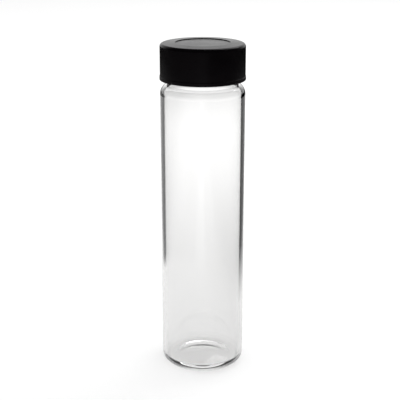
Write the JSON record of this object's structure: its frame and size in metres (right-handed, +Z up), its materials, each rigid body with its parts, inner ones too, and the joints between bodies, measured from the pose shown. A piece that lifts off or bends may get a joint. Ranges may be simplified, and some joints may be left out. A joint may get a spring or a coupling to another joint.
{
  "type": "glass sample vial",
  "caption": "Upright cylindrical clear glass vial with a threaded neck, a black screw cap and a sealing liner; holds a liquid or powder sample.",
  "frame": {"origin": "middle of the base, on the plane that the vial stands on", "axes": "+Z up along the vial's axis, from the base to the cap"},
  "size_m": [0.0252, 0.0252, 0.0997],
  "materials": {
    "glass": "clear, fire-polished",
    "cap_plastic": "semi-gloss moulded black",
    "liner_foam": "matt white sheet"
  },
  "bodies": {
    "vial": {"vial": "glass"},
    "liner": {"liner": "liner_foam"},
    "cap": {"cap": "cap_plastic"}
  },
  "joints": [
    {"name": "cap_lift", "type": "slide", "parent": "vial", "child": "liner", "axis": [0, 0, 1], "range_m": [0, 0.01271]},
    {"name": "cap_turn", "type": "hinge", "parent": "liner", "child": "cap", "pos_m": [0, 0, 0.0981], "axis": [0, 0, 1], "range_deg": [0, 1440]}
  ],
  "couplings": [
    {"joint": "cap_lift", "follows": "cap_turn", "m_per_rad": 0.00050532}
  ]
}
